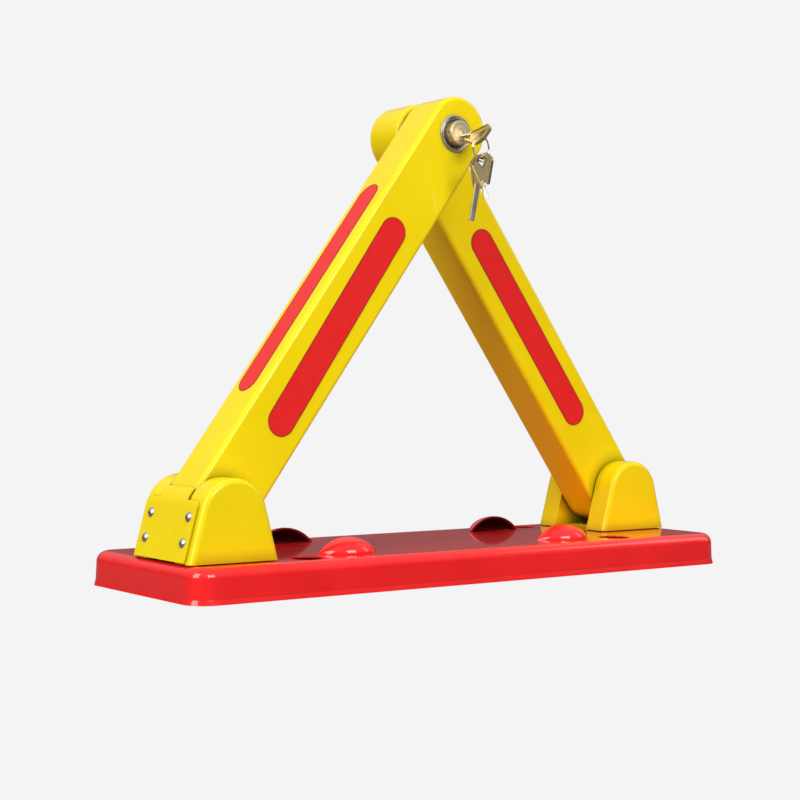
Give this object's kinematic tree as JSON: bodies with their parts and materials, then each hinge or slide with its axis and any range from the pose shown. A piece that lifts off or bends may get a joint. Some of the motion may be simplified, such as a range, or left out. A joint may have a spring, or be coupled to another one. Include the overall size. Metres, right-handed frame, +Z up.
{
  "type": "folding parking lock",
  "caption": "Folding parking-space barrier: two yellow box-section arms on a red base pan meet in an A shape and lock at the top with a key-operated push lock.",
  "frame": {"origin": "centre of the base pan's underside, on the ground", "axes": "+X along the base towards the right-hand hinge, +Y to the rear, away from the side with the lock, +Z up"},
  "size_m": [0.56, 0.1844, 0.41],
  "materials": {
    "yellow_paint": "glossy baked enamel",
    "red_paint": "high-gloss baked enamel",
    "reflective_red": "retro-reflective film",
    "chrome": "plated, turned",
    "zinc": "die-cast, plated",
    "brass": "turned face",
    "key_brass": "stamped, nickel-brass",
    "key_steel": "bright nickel-plated",
    "ring_steel": "bright wire",
    "stainless": "polished",
    "plated_steel": "zinc-plated",
    "spring_steel": "drawn wire",
    "nylon": "moulded"
  },
  "bodies": {
    "base": {"base_pan": "red_paint", "base_louvres": "red_paint", "left_hinge_frame": "yellow_paint", "left_front_cover": "yellow_paint", "left_rear_cover": "yellow_paint", "left_end_plate": "yellow_paint", "left_plate_rivets": "stainless", "left_pivot_bolt": "plated_steel", "left_pivot_washers": "plated_steel", "left_pivot_nut": "plated_steel", "left_backing_plate": "plated_steel", "left_frame_bolts": "plated_steel", "left_frame_nuts": "plated_steel", "right_hinge_frame": "yellow_paint", "right_front_cover": "yellow_paint", "right_rear_cover": "yellow_paint", "right_end_plate": "yellow_paint", "right_plate_rivets": "stainless", "right_pivot_bolt": "plated_steel", "right_pivot_washers": "plated_steel", "right_pivot_nut": "plated_steel", "right_backing_plate": "plated_steel", "right_frame_bolts": "plated_steel", "right_frame_nuts": "plated_steel"},
    "left_arm": {"left_arm_shell": "yellow_paint", "left_arm_back_plate": "yellow_paint", "left_arm_pivot_sleeve": "plated_steel", "left_arm_bushes": "nylon", "left_arm_front_reflector": "reflective_red", "left_arm_edge_reflector": "reflective_red", "left_arm_rear_reflector": "reflective_red", "lock_bezel": "chrome", "lock_housing": "zinc", "lock_nut": "plated_steel", "lock_spring": "spring_steel"},
    "right_arm": {"right_arm_shell": "yellow_paint", "right_arm_back_plate": "yellow_paint", "right_arm_pivot_sleeve": "plated_steel", "right_arm_bushes": "nylon", "right_arm_front_reflector": "reflective_red", "right_arm_edge_reflector": "reflective_red", "right_arm_rear_reflector": "reflective_red", "latch_keeper": "plated_steel"},
    "lock_barrel": {"lock_plunger": "brass", "lock_bolt": "plated_steel"},
    "core": {"lock_core": "brass"},
    "lock_key": {"key_bow": "key_brass", "key_blade": "key_steel"},
    "ring": {"key_ring": "ring_steel"},
    "spare_front": {"spare_key_front_bow": "key_brass", "spare_key_front_blade": "key_steel"},
    "spare_rear": {"spare_key_rear_bow": "key_brass", "spare_key_rear_blade": "key_steel"}
  },
  "joints": [
    {"name": "left_arm_fold", "type": "hinge", "parent": "base", "child": "left_arm", "pos_m": [-0.2338, -0.02475, 0.0636], "axis": [0, 1, 0], "range_deg": [0, 54.3]},
    {"name": "right_arm_fold", "type": "hinge", "parent": "base", "child": "right_arm", "pos_m": [0.2338, 0.02475, 0.0636], "axis": [0, -1, 0], "range_deg": [0, 54.3]},
    {"name": "lock_push", "type": "slide", "parent": "left_arm", "child": "lock_barrel", "axis": [0, -1, 0], "range_m": [-0.006, 0], "stiffness_N_per_m": 800, "springref_m": 0.004, "deforming": ["lock_spring"]},
    {"name": "key_turn", "type": "hinge", "parent": "lock_barrel", "child": "core", "pos_m": [-0.0012, -0.05285, 0.37385], "axis": [0, -1, 0], "range_deg": [0, 55]},
    {"name": "key_withdraw", "type": "slide", "parent": "core", "child": "lock_key", "axis": [0, -1, 0], "range_m": [0, 0.026]},
    {"name": "key_ring_swing", "type": "hinge", "parent": "lock_key", "child": "ring", "pos_m": [-0.00218, -0.07935, 0.37259], "axis": [0, -1, 0], "range_deg": [-55, 0]},
    {"name": "spare_front_slide_round", "type": "hinge", "parent": "ring", "child": "spare_front", "pos_m": [-0.0037, -0.07935, 0.36179], "axis": [-0.2419, 0.9703, 0], "range_deg": [0, 33]},
    {"name": "spare_rear_slide_round", "type": "hinge", "parent": "ring", "child": "spare_rear", "pos_m": [-0.0037, -0.07935, 0.36179], "axis": [-0.2419, 0.9703, 0], "range_deg": [0, 33]}
  ],
  "couplings": [
    {"joint": "key_ring_swing", "follows": "key_turn", "ratio": -1},
    {"joint": "spare_front_slide_round", "follows": "left_arm_fold", "ratio": 0.607},
    {"joint": "spare_rear_slide_round", "follows": "left_arm_fold", "ratio": 0.607}
  ]
}
